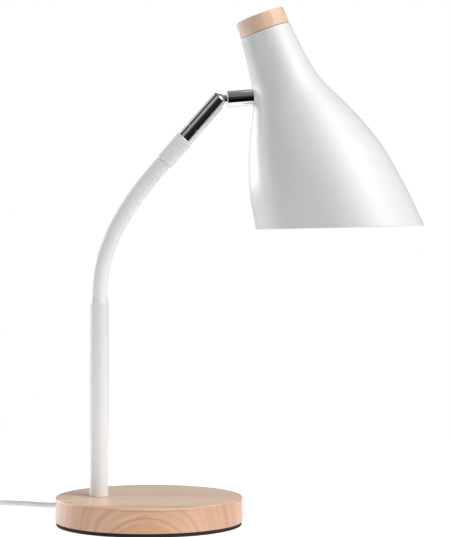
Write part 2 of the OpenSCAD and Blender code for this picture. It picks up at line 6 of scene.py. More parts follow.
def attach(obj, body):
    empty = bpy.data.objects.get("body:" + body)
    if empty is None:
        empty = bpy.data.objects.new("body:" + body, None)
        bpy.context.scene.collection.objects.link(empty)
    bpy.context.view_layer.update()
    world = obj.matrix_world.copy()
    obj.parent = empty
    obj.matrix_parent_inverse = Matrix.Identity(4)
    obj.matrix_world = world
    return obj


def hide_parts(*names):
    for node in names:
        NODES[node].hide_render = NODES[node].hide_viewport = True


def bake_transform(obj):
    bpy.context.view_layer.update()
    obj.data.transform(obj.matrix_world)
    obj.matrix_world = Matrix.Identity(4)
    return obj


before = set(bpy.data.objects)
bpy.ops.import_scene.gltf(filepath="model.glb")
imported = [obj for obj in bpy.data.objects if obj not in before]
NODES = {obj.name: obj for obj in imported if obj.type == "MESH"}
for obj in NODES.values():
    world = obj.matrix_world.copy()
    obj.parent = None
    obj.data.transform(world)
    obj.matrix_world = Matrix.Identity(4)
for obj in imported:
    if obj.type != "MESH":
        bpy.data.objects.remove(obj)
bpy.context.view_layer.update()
pi = math.pi
scene = bpy.context.scene

# ------------------------------------------------------------------ camera
cam_data = bpy.data.cameras.new("camera")
cam = bpy.data.objects.new("camera", cam_data)
scene.collection.objects.link(cam)
cam.location = (0.06435, -1.8, 0.2584)
cam.rotation_euler = (math.radians(90), 0, 0)
cam_data.sensor_width = 36.0
cam_data.lens = 142.13
cam_data.shift_x = 0.0
cam_data.shift_y = -0.0907
cam_data.clip_start = 0.05
cam_data.clip_end = 60
scene.camera = cam

# ------------------------------------------------------------------ frames repeated from the part's source (metres)
MM = 0.001
TURNS = [10, 10.5, 8, 5.5, 4.5, 3]
LINK = 20.9
POST_X, POST_TOP = -42.5, 192.9
NECK_R = 6.75
STUB_RISE = math.radians(4.4)
TILT = math.radians(20.1)


def ang(i):
    return sum(TURNS[:i])


def joint(i):
    x, z = POST_X, POST_TOP + 1
    for k in range(i):
        r = LINK * 180 / (pi * TURNS[k])
        t, a = math.radians(TURNS[k]), math.radians(ang(k))
        sx, sz = r * (1 - math.cos(t)), r * math.sin(t)
        x, z = x + sx * math.cos(a) + sz * math.sin(a), z - sx * math.sin(a) + sz * math.cos(a)
    return x, z


J = [joint(i) for i in range(7)]
ARM_A = math.radians(ang(6))
COLLAR_TOP = 4 + 26.4
BALL_T = COLLAR_TOP + 44
BALL = (J[6][0] + BALL_T * math.sin(ARM_A), J[6][1] + BALL_T * math.cos(ARM_A))
SHADE_O = (BALL[0] + 39.1, BALL[1] + 58.3)


def place(x, z, lean):
    """Frame with its origin at x, z (mm) and its own z leaning by an angle towards +X. Returns a matrix in metres for meshes made in mm."""
    return Matrix.Translation((x * MM, 0, z * MM)) @ Matrix.Rotation(lean, 4, "Y") @ Matrix.Scale(MM, 4)


AT_ARM = place(J[6][0], J[6][1], ARM_A)
AT_BALL = place(BALL[0], BALL[1], pi / 2 - STUB_RISE)
AT_SHADE = place(SHADE_O[0], SHADE_O[1], -TILT)
AT_POST = place(POST_X, 0, 0)
FLAT = Matrix.Scale(MM, 4)


def neck_point(i, u):
    """Point and lean of the gooseneck's centreline, u from 0 to 1 along length i (0..5)."""
    r = LINK * 180 / (pi * TURNS[i])
    t, a = math.radians(TURNS[i] * u), math.radians(ang(i))
    sx, sz = r * (1 - math.cos(t)), r * math.sin(t)
    x, z = J[i][0] + sx * math.cos(a) + sz * math.sin(a), J[i][1] - sx * math.sin(a) + sz * math.cos(a)
    return x, z, a + t


# ------------------------------------------------------------------ mesh helpers
def make(name, verts, faces, mat=None, smooth=True, matrix=None, body=None):
    if matrix is not None:
        verts = [tuple(matrix @ Vector(v)) for v in verts]
    me = bpy.data.meshes.new(name)
    me.from_pydata([tuple(v) for v in verts], [], faces)
    me.validate()
    me.update()
    if smooth:
        me.polygons.foreach_set("use_smooth", [True] * len(me.polygons))
    o = bpy.data.objects.new(name, me)
    scene.collection.objects.link(o)
    if mat is not None:
        me.materials.append(mat)
    if body:
        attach(o, body)
    return o


def round_profile(pts, radii, n=5):
    """Rounds the corners of an (r, z) polyline; radii maps index to radius."""
    out = []
    m = len(pts)
    for i, p in enumerate(pts):
        rad = radii.get(i, 0)
        if rad <= 0 or i == 0 or i == m - 1:
            out.append(tuple(p))
            continue
        a, b, c = Vector(pts[i - 1]), Vector(p), Vector(pts[i + 1])
        u, v = (a - b).normalized(), (c - b).normalized()
        half = math.acos(max(-1, min(1, u.dot(v)))) / 2
        if half > pi / 2 - 0.02:
            out.append(tuple(p))
            continue
        d = min(rad / math.tan(half), (a - b).length * 0.49, (c - b).length * 0.49)
        rr = d * math.tan(half)
        centre = b + (u + v).normalized() * (rr / math.sin(half))
        s, e = b + u * d, b + v * d
        a0 = math.atan2(s.y - centre.y, s.x - centre.x)
        a1 = math.atan2(e.y - centre.y, e.x - centre.x)
        while a1 - a0 > pi:
            a1 -= 2 * pi
        while a1 - a0 < -pi:
            a1 += 2 * pi
        for k in range(n + 1):
            t = a0 + (a1 - a0) * k / n
            out.append((centre.x + rr * math.cos(t), centre.y + rr * math.sin(t)))
    return out


def revolve(name, prof, mat, matrix, body, segs=96, closed=False, flip=False):
    """Turns an (r, z) line in mm round z. Points at r=0 become poles. closed joins the last point to the first."""
    verts, rings = [], []
    for r, z in prof:
        if r < 1e-6:
            rings.append([len(verts)])
            verts.append((0, 0, z))
        else:
            rings.append(list(range(len(verts), len(verts) + segs)))
            verts += [(r * math.cos(2 * pi * k / segs), r * math.sin(2 * pi * k / segs), z) for k in range(segs)]
    faces = []
    pairs = list(zip(rings[:-1], rings[1:])) + ([(rings[-1], rings[0])] if closed else [])
    for a, b in pairs:
        for k in range(segs):
            k2 = (k + 1) % segs
            if len(a) == 1 and len(b) == 1:
                continue
            if len(a) == 1:
                f = (a[0], b[k2], b[k])
            elif len(b) == 1:
                f = (a[k], a[k2], b[0])
            else:
                f = (a[k], a[k2], b[k2], b[k])
            faces.append(f if not flip else tuple(reversed(f)))
    o = make(name, verts, faces, mat, True, matrix, None)
    sharp(o, 35)
    if body:
        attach(o, body)
    return o


def sharp(o, degrees=35):
    """Marks edges sharper than an angle, so that flat faces and roundings shade as they are."""
    me = o.data
    me.set_sharp_from_angle(angle=math.radians(degrees))
    return o


def join(name, objs):
    """Joins meshes that are all in row coordinates into one."""
    verts, faces, mats, midx, smooth = [], [], [], [], []
    for o in objs:
        base = len(verts)
        verts += [tuple(o.matrix_world @ v.co) for v in o.data.vertices]
        for p in o.data.polygons:
            faces.append([base + i for i in p.vertices])
            m = o.data.materials[p.material_index] if o.data.materials else None
            if m not in mats:
                mats.append(m)
            midx.append(mats.index(m))
            smooth.append(p.use_smooth)
    me = bpy.data.meshes.new(name)
    me.from_pydata(verts, [], faces)
    for m in mats:
        me.materials.append(m)
    me.polygons.foreach_set("material_index", midx)
    me.polygons.foreach_set("use_smooth", smooth)
    me.update()
    n = bpy.data.objects.new(name, me)
    scene.collection.objects.link(n)
    for o in objs:
        bpy.data.objects.remove(o)
    sharp(n, 35)
    return n


def tube(name, pts, radius, mat, segs=24, caps=True, up=(0, 0, 1)):
    """A round tube along points in metres; radius is a number or one per point."""
    pts = [Vector(p) for p in pts]
    n = len(pts)
    rad = radius if isinstance(radius, (list, tuple)) else [radius] * n
    tang = [(pts[min(i + 1, n - 1)] - pts[max(i - 1, 0)]).normalized() for i in range(n)]
    ref = Vector(up)
    s = tang[0].cross(ref)
    if s.length < 1e-3:
        s = tang[0].cross(Vector((0, 1, 0)))
    s.normalize()
    verts, faces = [], []
    for i in range(n):
        if i:
            q = tang[i - 1].rotation_difference(tang[i])
            s = (q @ s).normalized()
        u = tang[i].cross(s).normalized()
        for k in range(segs):
            a = 2 * pi * k / segs
            verts.append(pts[i] + (s * math.cos(a) + u * math.sin(a)) * rad[i])
    for i in range(n - 1):
        for k in range(segs):
            k2 = (k + 1) % segs
            faces.append((i * segs + k, (i + 1) * segs + k, (i + 1) * segs + k2, i * segs + k2))
    if caps:
        faces.append(tuple(range(segs)))
        faces.append(tuple(reversed(range((n - 1) * segs, n * segs))))
    o = make(name, verts, faces, mat)
    return sharp(o, 40)


def box_mesh(name, lo, hi, mat, bevel=0.0, matrix=None, segments=4):
    x0, y0, z0 = lo
    x1, y1, z1 = hi
    v = [(x0, y0, z0), (x1, y0, z0), (x1, y1, z0), (x0, y1, z0), (x0, y0, z1), (x1, y0, z1), (x1, y1, z1), (x0, y1, z1)]
    f = [(0, 3, 2, 1), (4, 5, 6, 7), (0, 1, 5, 4), (1, 2, 6, 5), (2, 3, 7, 6), (3, 0, 4, 7)]
    o = make(name, v, f, mat, False, matrix)
    if bevel:
        m = o.modifiers.new("bevel", "BEVEL")
        m.width = bevel
        m.segments = segments
        m.limit_method = "ANGLE"
        o.data.polygons.foreach_set("use_smooth", [True] * len(o.data.polygons))
    return o


# ------------------------------------------------------------------ node helpers for materials
class Mat:
    def __init__(self, name):
        self.m = bpy.data.materials.new(name)
        self.m.use_nodes = True
        self.t = self.m.node_tree
        self.b = self.t.nodes["Principled BSDF"]
        self.out = self.t.nodes["Material Output"]

    def n(self, kind, **kw):
        x = self.t.nodes.new(kind)
        for k, v in kw.items():
            setattr(x, k, v)
        return x

    def link(self, a, b):
        self.t.links.new(a, b)

    def coords(self, scale=(1, 1, 1), loc=(0, 0, 0), rot=(0, 0, 0)):
        c = self.n("ShaderNodeTexCoord")
        m = self.n("ShaderNodeMapping")
        m.inputs["Scale"].default_value = scale
        m.inputs["Location"].default_value = loc
        m.inputs["Rotation"].default_value = rot
        self.link(c.outputs["Object"], m.inputs["Vector"])
        return m.outputs["Vector"]

    def noise(self, vec, scale, detail=3, rough=0.5, dist=0.0):
        x = self.n("ShaderNodeTexNoise")
        x.inputs["Scale"].default_value = scale
        x.inputs["Detail"].default_value = detail
        x.inputs["Roughness"].default_value = rough
        x.inputs["Distortion"].default_value = dist
        if vec is not None:
            self.link(vec, x.inputs["Vector"])
        return x.outputs["Fac"]

    def ramp(self, fac, stops, interp="LINEAR"):
        x = self.n("ShaderNodeValToRGB")
        x.color_ramp.interpolation = interp
        e = x.color_ramp.elements
        while len(e) > 1:
            e.remove(e[-1])
        e[0].position, e[0].color = stops[0][0], col(stops[0][1])
        for p, c in stops[1:]:
            k = e.new(p)
            k.color = col(c)
        self.link(fac, x.inputs["Fac"])
        return x.outputs["Color"]

    def math(self, op, a, b=None, clamp=False):
        x = self.n("ShaderNodeMath", operation=op, use_clamp=clamp)
        for i, v in enumerate((a, b)):
            if v is None:
                continue
            if isinstance(v, (int, float)):
                x.inputs[i].default_value = v
            else:
                self.link(v, x.inputs[i])
        return x.outputs[0]

    def mapr(self, v, a, b, c, d, clamp=True):
        x = self.n("ShaderNodeMapRange", clamp=clamp)
        self.link(v, x.inputs["Value"])
        for k, s in zip(("From Min", "From Max", "To Min", "To Max"), (a, b, c, d)):
            x.inputs[k].default_value = s
        return x.outputs["Result"]

    def mix(self, fac, a, b, blend="MIX"):
        x = self.n("ShaderNodeMix", data_type="RGBA", blend_type=blend)
        for sock, v in ((x.inputs[0], fac), (x.inputs[6], a), (x.inputs[7], b)):
            if isinstance(v, (int, float)):
                sock.default_value = v
            elif isinstance(v, (tuple, list)):
                sock.default_value = col(v)
            else:
                self.link(v, sock)
        return x.outputs[2]

    def bump(self, height, strength, distance, normal=None):
        x = self.n("ShaderNodeBump")
        x.inputs["Strength"].default_value = strength
        x.inputs["Distance"].default_value = distance
        self.link(height, x.inputs["Height"])
        if normal is not None:
            self.link(normal, x.inputs["Normal"])
        return x.outputs["Normal"]

    def set(self, **kw):
        names = {"color": "Base Color", "rough": "Roughness", "metal": "Metallic", "coat": "Coat Weight", "coat_rough": "Coat Roughness",
                 "spec": "Specular IOR Level", "sheen": "Sheen Weight", "ior": "IOR", "sss": "Subsurface Weight", "normal": "Normal",
                 "transmission": "Transmission Weight", "emit": "Emission Strength"}
        for k, v in kw.items():
            s = self.b.inputs[names[k]]
            if isinstance(v, (int, float)):
                s.default_value = v
            elif isinstance(v, (tuple, list)):
                s.default_value = col(v)
            else:
                self.link(v, s)
        return self


def col(c):
    """sRGB 0..255 or linear 0..1 tuple to a linear RGBA."""
    if isinstance(c, (int, float)):
        c = (c, c, c)
    if max(c[:3]) > 1.001:
        c = [((v / 255 + 0.055) / 1.055) ** 2.4 if v / 255 > 0.04045 else v / 255 / 12.92 for v in c[:3]]
    return (c[0], c[1], c[2], 1.0)


# ------------------------------------------------------------------ materials
W_ARCH = 0.0745      # layer that makes the arch on the front of the base


def white_paint(name, tone=232, rough=0.34, coat=0.25, fleck=0.6):
    """Satin stove paint: faint orange peel, slight gloss variation, a little dust tone."""
    m = Mat(name)
    v = m.coords()
    peel = m.noise(v, 620, 2, 0.5)
    soft = m.noise(v, 55, 2, 0.5)
    c = m.ramp(soft, [(0.3, (tone - 2, tone - 2, tone - 2)), (0.7, (tone + 1, tone + 1, tone + 1))])
    r = m.mapr(m.noise(v, 140, 3, 0.6), 0.3, 0.7, rough - 0.03, rough + 0.04)
    m.set(color=c, rough=r, coat=coat, coat_rough=0.18, normal=m.bump(peel, 0.03 * fleck, 0.0002))
    return m.m


def chrome_mat(name, rough=0.055):
    m = Mat(name)
    v = m.coords()
    n1 = m.noise(v, 900, 2, 0.6)
    r = m.mapr(n1, 0.35, 0.7, rough, rough + 0.035)
    c = m.ramp(m.noise(v, 90, 2, 0.5), [(0.3, (220, 221, 223)), (0.7, (228, 228, 230))])
    m.set(color=c, metal=1.0, rough=r, normal=m.bump(m.noise(v, 260, 1, 0.4), 0.015, 0.0001))
    return m.m


def steel_mat(name, tone=165, rough=0.34, brass=False):
    m = Mat(name)
    v = m.coords((1, 1, 6))
    n1 = m.noise(v, 700, 3, 0.6)
    lo, hi = ((tone - 14, tone - 13, tone - 10), (tone + 12, tone + 12, tone + 13)) if not brass else ((188, 150, 88), (222, 188, 120))
    m.set(color=m.ramp(n1, [(0.3, lo), (0.7, hi)]), metal=1.0, rough=m.mapr(n1, 0.3, 0.7, rough - 0.06, rough + 0.08),
          normal=m.bump(n1, 0.15, 0.0001))
    return m.m


def plastic_mat(name, tone, rough=0.42, bump=0.25, scale=1500, spec=0.5):
    m = Mat(name)
    v = m.coords()
    n1 = m.noise(v, scale, 2, 0.6)
    n2 = m.noise(v, 70, 2, 0.5)
    t = tone if isinstance(tone, tuple) else (tone, tone, tone)
    lo, hi = tuple(max(0, x - 3) for x in t), tuple(min(255, x + 2) for x in t)
    m.set(color=m.ramp(n2, [(0.3, lo), (0.7, hi)]), rough=m.mapr(n1, 0.3, 0.7, rough - 0.04, rough + 0.05), spec=spec,
          normal=m.bump(n1, bump, 0.00008))
    return m.m


def base_wood_mat(name="oiled_beech"):
    """Pale plain-sawn wood. Growth layers stand upright along X and lean a little, so they lie along X on the face, make an
    arch on the front of the edge and slanted, then upright lines towards its sides."""
    m = Mat(name)
    obj = m.n("ShaderNodeTexCoord").outputs["Object"]
    sep = m.n("ShaderNodeSeparateXYZ")
    m.link(obj, sep.inputs[0])
    X, Y, Z = sep.outputs
    xc = m.math("SUBTRACT", X, -0.001)
    # distance through the layers, in metres: w = -y - k z, k falling away from the front
    back = m.math("MULTIPLY", Y, -1.0)
    k = m.mapr(back, 0.064, 0.079, 0.19, 0.46)
    lean = m.math("MULTIPLY", k, m.math("SUBTRACT", Z, 0.0035))
    warp = m.noise(m.coords((9, 16, 40), (0.4, 0.1, 0.3)), 1.0, 2, 0.5)
    w = m.math("SUBTRACT", back, lean)
    w = m.math("ADD", w, m.math("MULTIPLY", m.math("SUBTRACT", warp, 0.5), 0.0042))
    ripple = m.noise(m.coords((150, 90, 260), (0.2, 0.6, 0.1)), 1.0, 3, 0.6)
    w = m.math("ADD", w, m.math("MULTIPLY", m.math("SUBTRACT", ripple, 0.5), 0.0011))

    def layers(per_m, x_rate, detail, rough, seed):
        c = m.n("ShaderNodeCombineXYZ")
        m.link(m.math("MULTIPLY", w, per_m), c.inputs[0])
        m.link(m.math("MULTIPLY", X, x_rate), c.inputs[1])
        c.inputs[2].default_value = seed
        return m.noise(c.outputs[0], 1.0, detail, rough)

    broad = layers(52, 5.0, 2, 0.5, 1.7)
    bands = layers(150, 9.0, 3, 0.55, 5.3)
    fine = layers(820, 34.0, 3, 0.62, 9.1)
    mid = layers(330, 14.0, 2, 0.55, 3.4)
    # --- face: painted paler than the edge, painted light on the lit top, over the face's own figure
    face = m.ramp(broad, [(0.30, (247, 216, 188)), (0.45, (241, 205, 175)), (0.56, (234, 192, 162)), (0.68, (224, 176, 148))])
    face = m.mix(m.mapr(bands, 0.44, 0.30, 0.0, 0.45), face, (216, 168, 138))
    face = m.mix(m.mapr(fine, 0.40, 0.78, 0.0, 0.34), face, (204, 156, 126))
    # --- edge: painted darker than the face, painted shade on the side, over the edge's own figure
    edge = m.ramp(bands, [(0.26, (182, 143, 114)), (0.44, (197, 158, 128)), (0.60, (208, 170, 140)), (0.78, (220, 186, 158))])
    edge = m.mix(m.mapr(broad, 0.42, 0.70, 0.0, 0.45), edge, (194, 151, 121))
    edge = m.mix(m.mapr(mid, 0.50, 0.74, 0.0, 0.36), edge, (174, 133, 104))
    edge = m.mix(m.mapr(fine, 0.42, 0.80, 0.0, 0.40), edge, (166, 124, 96))

    def line(at, half, strength):
        d = m.math("ABSOLUTE", m.math("SUBTRACT", w, at))
        return m.mapr(d, 0.0, half, strength, 0.0)

    tint = (160, 118, 90)
    # the heart of the arch is a shade warmer
    heart = m.mapr(w, W_ARCH, W_ARCH + 0.0016, 0.0, 0.62)
    edge = m.mix(heart, edge, (190, 143, 107))
    for at, half, strength in ((0.0, 0.0008, 0.60), (0.0021, 0.0008, 0.14), (-0.0016, 0.0010, 0.10), (-0.0072, 0.0016, 0.24), (-0.0112, 0.0012, 0.10),
                               (-0.0165, 0.0026, 0.24), (-0.0285, 0.0034, 0.20), (-0.0440, 0.0042, 0.26), (-0.0560, 0.0026, 0.16), (-0.0625, 0.0022, 0.20)):
        edge = m.mix(line(W_ARCH + at, half, strength), edge, tint)
    # a darker wavering line just under the rounding of the top edge, at the front only
    wav = m.noise(m.coords((160, 160, 0), (0.3, 0, 0)), 1.0, 3, 0.6)
    dz = m.math("ABSOLUTE", m.math("SUBTRACT", m.math("ADD", Z, m.math("MULTIPLY", m.math("SUBTRACT", wav, 0.5), 0.0022)), 0.0216))
    rim = m.mapr(dz, 0.0, 0.00075, 0.62, 0.0)
    rim = m.math("MULTIPLY", rim, m.mapr(m.math("ABSOLUTE", m.math("SUBTRACT", X, 0.005)), 0.024, 0.040, 1.0, 0.0))
    edge = m.mix(rim, edge, (164, 118, 88))
    # end grain at both sides, with upright lines: the right end is darker; the left end is painted pale and pinker, a
    # painted highlight where the left lamps fall
    side = m.math("ABSOLUTE", X)
    pale = m.mix(m.math("GREATER_THAN", X, 0.0), (238, 206, 192), (184, 134, 108))
    edge = m.mix(m.mapr(side, 0.060, 0.0775, 0.0, 0.62), edge, pale)
    # the top takes the face's painted-light colours, the side takes the edge's painted-shade colours
    up = m.mapr(Z, 0.0226, 0.0234, 0.0, 1.0)
    c = m.mix(up, edge, face)
    pore = m.noise(m.coords((160, 1500, 1500)), 1.0, 2, 0.7)
    m.set(color=c, rough=m.mapr(fine, 0.3, 0.7, 0.30, 0.40), coat=0.25, coat_rough=0.20, spec=0.4)
    h = m.math("ADD", m.math("MULTIPLY", fine, 0.5), m.math("MULTIPLY", pore, 0.5))
    m.link(m.bump(h, 0.12, 0.00010), m.b.inputs["Normal"])
    return m.m


def cap_wood_mat(name="cap_beech"):
    """The cap's wood, in its own leaning frame: streaks along the cap's axis on the edge, rings of pale grain on the
    top, and a painted highlight down its left side.
    """
    m = Mat(name)
    v = m.coords((1, 1, 1), (-SHADE_O[0] * MM, 0, -SHADE_O[1] * MM))
    rot = m.n("ShaderNodeVectorRotate", rotation_type="Y_AXIS")
    m.link(v, rot.inputs["Vector"])
    rot.inputs["Angle"].default_value = TILT
    sep = m.n("ShaderNodeSeparateXYZ")
    m.link(rot.outputs[0], sep.inputs[0])
    X, Y, Z = sep.outputs
    comb = m.n("ShaderNodeCombineXYZ")
    m.link(m.math("MULTIPLY", X, 190.0), comb.inputs[0])
    m.link(m.math("MULTIPLY", Y, 190.0), comb.inputs[1])
    m.link(m.math("MULTIPLY", Z, 26.0), comb.inputs[2])
    bands = m.noise(comb.outputs[0], 1.0, 3, 0.55)
    comb2 = m.n("ShaderNodeCombineXYZ")
    m.link(m.math("MULTIPLY", X, 1300.0), comb2.inputs[0])
    m.link(m.math("MULTIPLY", Y, 1300.0), comb2.inputs[1])
    m.link(m.math("MULTIPLY", Z, 70.0), comb2.inputs[2])
    fine = m.noise(comb2.outputs[0], 1.0, 3, 0.6)
    c = m.ramp(bands, [(0.28, (228, 186, 155)), (0.48, (239, 204, 176)), (0.62, (245, 215, 190)), (0.78, (250, 225, 204))])
    c = m.mix(m.mapr(fine, 0.4, 0.75, 0.0, 0.20), c, (216, 168, 134))
    # painted highlight: the cap's left side is blended to a pale pinkish white where the left lamps fall
    c = m.mix(m.mapr(X, -0.022, -0.008, 0.55, 0.0), c, (252, 232, 224))
    m.set(color=c, rough=m.mapr(fine, 0.3, 0.7, 0.34, 0.45), coat=0.25, coat_rough=0.25, spec=0.4, normal=m.bump(fine, 0.1, 0.0001))
    return m.m


PAINT = white_paint("shade_satin_white", 234, 0.36, 0.22)
PAINT_IN = white_paint("shade_inside_white", 236, 0.5, 0.0)
# painted shade: the post's copy of the satin white is toned a little darker than the shade's, to hold the post darker
# under the same lamps
POST = white_paint("post_satin_white", 231, 0.34, 0.25)
SLEEVE = white_paint("sleeve_soft_white", 238, 0.42, 0.10, 1.0)
COLLAR = white_paint("collar_gloss_white", 241, 0.26, 0.4)
CHROME = chrome_mat("chrome")
STEEL = steel_mat("zinc_steel")
DARK_STEEL = steel_mat("dark_steel", 120, 0.42)
BRASS = steel_mat("brass_plain", 0, 0.3, True)
NICKEL = steel_mat("nickel", 190, 0.22)
WOOD = base_wood_mat()
CAPWOOD = cap_wood_mat()
RUBBER = plastic_mat("black_rubber", (26, 26, 27), 0.75, 0.5, 1200, 0.3)
CORD = plastic_mat("cord_pale_grey", (214, 214, 214), 0.46, 0.2, 1800)
PLUGM = plastic_mat("plug_pale_grey", (216, 216, 216), 0.44, 0.35, 2200)
SWITCHM = plastic_mat("switch_pale_grey", (222, 222, 222), 0.40, 0.3, 2200)
ROCKERM = plastic_mat("rocker_grey", (196, 197, 199), 0.34, 0.2, 2200)
NYLON = plastic_mat("black_nylon", (30, 30, 32), 0.5, 0.3, 1500)
TIE = plastic_mat("tie_pale_grey", (205, 205, 207), 0.55, 0.4, 2500)
HOLDER = plastic_mat("holder_white", (232, 231, 228), 0.30, 0.15, 1500)
CERAMIC = plastic_mat("ceramic_white", (226, 223, 214), 0.45, 0.4, 900)
BULB_BODY = plastic_mat("bulb_white", (236, 236, 234), 0.35, 0.15, 1500)


def opal_mat(name):
    m = Mat(name)
    v = m.coords()
    n = m.noise(v, 1200, 2, 0.6)
    m.set(color=m.ramp(m.noise(v, 50, 2, 0.5), [(0.3, (240, 240, 237)), (0.7, (246, 246, 244))]), rough=m.mapr(n, 0.3, 0.7, 0.42, 0.52),
          sss=0.25, normal=m.bump(n, 0.15, 0.0001))
    m.b.inputs["Subsurface Radius"].default_value = (0.004, 0.004, 0.004)
    return m.m


OPAL = opal_mat("opal_globe")

for node_name, mat in {
    "base_wood": WOOD, "base_pad": RUBBER, "ballast_plate": DARK_STEEL, "base_screws": STEEL, "cord_grip": NYLON, "base_lead": CORD,
    "post_tube": POST, "post_stud": STEEL, "post_washer": STEEL, "post_nut": STEEL, "hose_foot": STEEL, "neck_end": STEEL,
    "swivel_clip": STEEL, "joint_housing": CHROME, "ball_seat": BRASS, "disc_springs": STEEL, "ball_stud": CHROME, "stud_nut": STEEL,
    "stub_tube": CHROME, "ferrule": CHROME, "collar": COLLAR, "stub_nipple": STEEL, "stub_nut": NICKEL, "top_cap": CAPWOOD,
    "holder_nipple": STEEL, "top_nut": STEEL, "holder_cap": HOLDER, "holder_body": HOLDER, "holder_core": CERAMIC,
    "holder_contacts": BRASS, "bulb_cap": NICKEL, "bulb_base": BULB_BODY, "bulb_globe": OPAL, "rocker_pin": STEEL, "switch_screws": STEEL,
    "plug_pins": NICKEL, "sleeve_top": SLEEVE, "shade": PAINT, "switch_lower": SWITCHM, "switch_upper": SWITCHM, "switch_rocker": ROCKERM,
    "plug_body": PLUGM, "strain_relief": CORD, "coil_tie": TIE,
    **{f"hose_{i}": STEEL for i in range(1, 7)},
}.items():
    if node_name in NODES:
        me = NODES[node_name].data
        me.materials.clear()
        me.materials.append(mat)

# ------------------------------------------------------------------ mains cord: one line from the base to the plug
LEAD = [(-51.1, 60.9, 9), (-58.2, 69.3, 9), (-65.2, 77.7, 9), (-70, 83.3, 8.2), (-76, 89, 6), (-82.5, 94, 3.8), (-89.5, 98.3, 2.7),
        (-97, 102.3, 2.5), (-106, 106.7, 2.5), (-116, 110.9, 2.5), (-127, 114.5, 2.5), (-134, 116.3, 2.5), (-141, 117, 2.5),
        (-147.5, 115.5, 2.5), (-153.5, 112, 2.6), (-158, 106.5, 3.4), (-160.4, 100, 5), (-161, 94, 6.8), (-161, 89, 7.8), (-161, 85, 8)]
MID = [(-161, 67, 8), (-161, 49, 8), (-161, 31, 8), (-161, 13, 8), (-161, 7, 7.7), (-161, -2, 5.4), (-161, -12, 3.6)]
TAIL = [(-213, 0, 13.1), (-208, 5.5, 12.3), (-204.2, 13, 10.2), (-202.4, 21, 8), (-202, 26, 7.1), (-202, 36, 6.8)]
COIL_C = (-193.5, -26.0)
Z0 = 0.6


def coil_points():
    """Turns that lie beside and on each other: out to in on the lowest layer, back out on the middle one, and a part on the top one."""
    plan = [(32.4, 3.1), (27.4, 3.1), (22.4, 3.1), (22.4, 8.1), (27.4, 8.1), (32.4, 8.1), (22.4, 13.1), (27.4, 13.1), (32.4, 13.1)]
    pts = []
    start = 0.0                   # joins the lead that comes down along -Y at the coil's right
    total = 8.0
    step = 9.0
    n = int(round((total * 360 + TAIL_TURN) / step))
    for k in range(n + 1):
        turn = k * step / 360.0
        i = int(turn)
        f = turn - i
        a = plan[min(i, 8)]
        b = plan[min(i + 1, 8)]
        # most of a turn keeps its place; the change to the next one is made over the last 70 degrees
        w = max(0.0, (f - 0.80) / 0.20)
        w = w * w * (3 - 2 * w)
        r = a[0] + (b[0] - a[0]) * w
        z = a[1] + (b[1] - a[1]) * w
        th = math.radians(start - k * step)
        pts.append((COIL_C[0] + r * math.cos(th), COIL_C[1] + r * math.sin(th), z))
    return pts


TAIL_TURN = 225.0
COIL = coil_points()
ROUTE = LEAD + MID + COIL + TAIL[1:]
ROUTE = [tuple(c * MM for c in p) for p in ROUTE]
cd = bpy.data.curves.new("mains_cord", "CURVE")
cd.dimensions = "3D"
sp = cd.splines.new("NURBS")
sp.points.add(len(ROUTE) - 1)
for q, p in zip(sp.points, ROUTE):
    q.co = (*p, 1)
sp.order_u = 4
sp.use_endpoint_u = True
sp.resolution_u = 6
cd.bevel_depth = 2.5 * MM
cd.bevel_resolution = 6
cd.use_fill_caps = True
cord = bpy.data.objects.new("mains_cord", cd)
scene.collection.objects.link(cord)
cd.materials.append(CORD)
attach(cord, "base")
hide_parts("cord_lead", "cord_mid", "cord_coil", "cord_tail")

# ------------------------------------------------------------------ spun shade
OUTLINE = [[0, 22], [12, 23], [24, 24.4], [36, 26.2], [46, 28.2], [56, 31.4], [68, 37], [80, 42.9], [92, 48.2], [105, 53.4],
           [118, 57.8], [132, 61.3], [146, 63.7], [160, 65.9], [175, 67.7], [190, 69.1], [205, 70.2], [220, 71.1]]
RIM_AT, RIM_SLANT, WALL = 177.5, math.radians(18.53), 1.2


def catmull(points, per):
    out = []
    m = len(points)
    for i in range(m - 1):
        a, b, c, d = (points[max(0, min(m - 1, i + k))] for k in (-1, 0, 1, 2))
        for k in range(per):
            t = k / per
            out.append([0.5 * (2 * b[j] + (c[j] - a[j]) * t + (2 * a[j] - 5 * b[j] + 4 * c[j] - d[j]) * t * t
                               + (3 * b[j] - a[j] - 3 * c[j] + d[j]) * t ** 3) for j in range(len(b))])
    out.append(list(points[-1]))
    return out


FINE = np.array(catmull(OUTLINE, 12))
R_OF_S = lambda q: np.interp(q, FINE[:, 0], FINE[:, 1])


